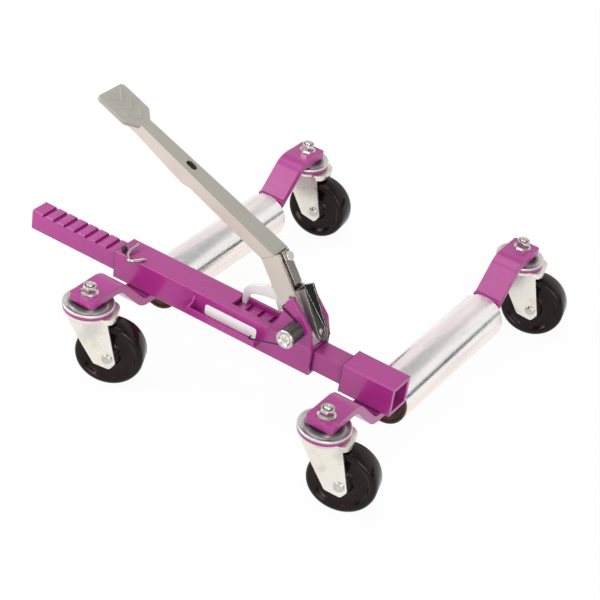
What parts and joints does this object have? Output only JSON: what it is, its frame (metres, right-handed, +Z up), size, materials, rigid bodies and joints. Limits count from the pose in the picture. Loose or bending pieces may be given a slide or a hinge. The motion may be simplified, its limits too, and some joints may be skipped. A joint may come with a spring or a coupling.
{
  "type": "vehicle positioning jack",
  "caption": "Wheeled jack for moving a parked car: a pedal ratchet draws a notched bar through a square housing so free rollers squeeze under a tyre, on swivel casters.",
  "frame": {"origin": "on the floor, midway between the caster kingpins in both directions, under the middle of the tyre gap", "axes": "+X along the ratchet bar toward its sleeve, +Y along the rollers away from the pedal side, +Z up"},
  "size_m": [0.7092, 0.6477, 0.3768],
  "materials": {
    "purple_paint": "gloss purple enamel",
    "zinc_plate": "bright zinc plate",
    "dark_moulding": "glossy brown-black moulding",
    "grey_plate": "warm grey satin",
    "dark_steel": "dark oiled steel",
    "black_spring": "black oiled wire",
    "black_rubber": "matt black rubber"
  },
  "bodies": {
    "housing": {"main_housing": "purple_paint", "near_ear": "purple_paint", "far_ear": "purple_paint", "side_guard": "purple_paint", "left_near_strap": "purple_paint", "left_far_strap": "purple_paint", "left_end_plate": "purple_paint", "left_axle": "zinc_plate", "pivot_pin": "zinc_plate", "pivot_cap": "zinc_plate", "pivot_ring": "zinc_plate", "holding_pawl_pin": "zinc_plate", "lock_boot": "black_rubber", "left_caster_races": "zinc_plate", "left_caster_bands": "purple_paint", "left_thrust_rings": "zinc_plate", "left_kingpins": "zinc_plate", "left_caster_nuts": "zinc_plate", "pedal_spring": "black_spring"},
    "bar": {"ratchet_bar": "purple_paint", "right_sleeve": "purple_paint", "right_near_strap": "purple_paint", "right_far_strap": "purple_paint", "right_end_plate": "purple_paint", "right_axle": "zinc_plate", "right_caster_races": "zinc_plate", "right_caster_bands": "purple_paint", "right_thrust_rings": "zinc_plate", "right_kingpins": "zinc_plate", "right_caster_nuts": "zinc_plate"},
    "left_roller": {"left_roller_tube": "zinc_plate", "left_roller_bushings": "dark_moulding"},
    "right_roller": {"right_roller_tube": "zinc_plate", "right_roller_bushings": "dark_moulding"},
    "nl_swivel": {"nl_fork": "zinc_plate", "nl_wheel_axle": "zinc_plate"},
    "nl_wheel_spin": {"nl_wheel": "dark_moulding"},
    "nr_swivel": {"nr_fork": "zinc_plate", "nr_wheel_axle": "zinc_plate"},
    "nr_wheel_spin": {"nr_wheel": "dark_moulding"},
    "fl_swivel": {"fl_fork": "zinc_plate", "fl_wheel_axle": "zinc_plate"},
    "fl_wheel_spin": {"fl_wheel": "dark_moulding"},
    "fr_swivel": {"fr_fork": "zinc_plate", "fr_wheel_axle": "zinc_plate"},
    "fr_wheel_spin": {"fr_wheel": "dark_moulding"},
    "pedal": {"pedal_arm": "grey_plate", "pedal_pad": "grey_plate", "pedal_lever": "grey_plate", "leaf": "dark_steel", "leaf_bolt": "dark_steel", "leaf_spacer": "dark_steel", "drive_pawl_pin": "dark_steel"},
    "drive_pawl_set": {"drive_pawl": "dark_steel", "pawl_tooth": "zinc_plate"},
    "holding_pawl_set": {"holding_pawl": "zinc_plate"},
    "lock": {"lock_pin": "zinc_plate"}
  },
  "joints": [
    {"name": "bar_slide", "type": "slide", "parent": "housing", "child": "bar", "axis": [1, 0, 0], "range_m": [-0.045, 0.15]},
    {"name": "left_roller_spin", "type": "hinge", "parent": "housing", "child": "left_roller", "pos_m": [-0.2032, 0, 0.06467], "axis": [0, 1, 0], "continuous": true},
    {"name": "right_roller_spin", "type": "hinge", "parent": "bar", "child": "right_roller", "pos_m": [0.2032, 0, 0.06467], "axis": [0, 1, 0], "continuous": true},
    {"name": "nl_swivel_turn", "type": "hinge", "parent": "housing", "child": "nl_swivel", "pos_m": [-0.2032, -0.285, 0.1135], "axis": [0, 0, 1], "continuous": true},
    {"name": "nl_wheel_turn", "type": "hinge", "parent": "nl_swivel", "child": "nl_wheel_spin", "pos_m": [-0.16831, -0.26873, 0.0508], "axis": [-0.4226, 0.9063, 0], "continuous": true},
    {"name": "nr_swivel_turn", "type": "hinge", "parent": "bar", "child": "nr_swivel", "pos_m": [0.2032, -0.285, 0.1135], "axis": [0, 0, 1], "continuous": true},
    {"name": "nr_wheel_turn", "type": "hinge", "parent": "nr_swivel", "child": "nr_wheel_spin", "pos_m": [0.24013, -0.27413, 0.0508], "axis": [-0.2823, 0.9593, 0], "continuous": true},
    {"name": "fl_swivel_turn", "type": "hinge", "parent": "housing", "child": "fl_swivel", "pos_m": [-0.2032, 0.285, 0.1135], "axis": [0, 0, 1], "continuous": true},
    {"name": "fl_wheel_turn", "type": "hinge", "parent": "fl_swivel", "child": "fl_wheel_spin", "pos_m": [-0.16487, 0.28862, 0.0508], "axis": [-0.0941, 0.9956, 0], "continuous": true},
    {"name": "fr_swivel_turn", "type": "hinge", "parent": "bar", "child": "fr_swivel", "pos_m": [0.2032, 0.285, 0.1135], "axis": [0, 0, 1], "continuous": true},
    {"name": "fr_wheel_turn", "type": "hinge", "parent": "fr_swivel", "child": "fr_wheel_spin", "pos_m": [0.24059, 0.29418, 0.0508], "axis": [-0.2385, 0.9711, 0], "continuous": true},
    {"name": "pedal_hinge", "type": "hinge", "parent": "housing", "child": "pedal", "pos_m": [0.074, -0.1409, 0.155], "axis": [0, -1, 0], "range_deg": [0, 14], "stiffness_Nm_per_rad": 4, "springref_deg": -68.75, "deforming": ["pedal_spring"]},
    {"name": "drive_pawl_hinge", "type": "hinge", "parent": "pedal", "child": "drive_pawl_set", "pos_m": [0.0523, -0.1409, 0.19476], "axis": [0, -1, 0], "range_deg": [-6, 0]},
    {"name": "holding_pawl_hinge", "type": "hinge", "parent": "housing", "child": "holding_pawl_set", "pos_m": [0.028, -0.128, 0.1425], "axis": [0, 1, 0], "range_deg": [0, 7]},
    {"name": "lock_pin_lift", "type": "slide", "parent": "housing", "child": "lock", "axis": [0, 0, 1], "range_m": [0, 0.005]}
  ],
  "couplings": [
    {"joint": "drive_pawl_hinge", "follows": "pedal_hinge", "ratio": -0.36}
  ]
}
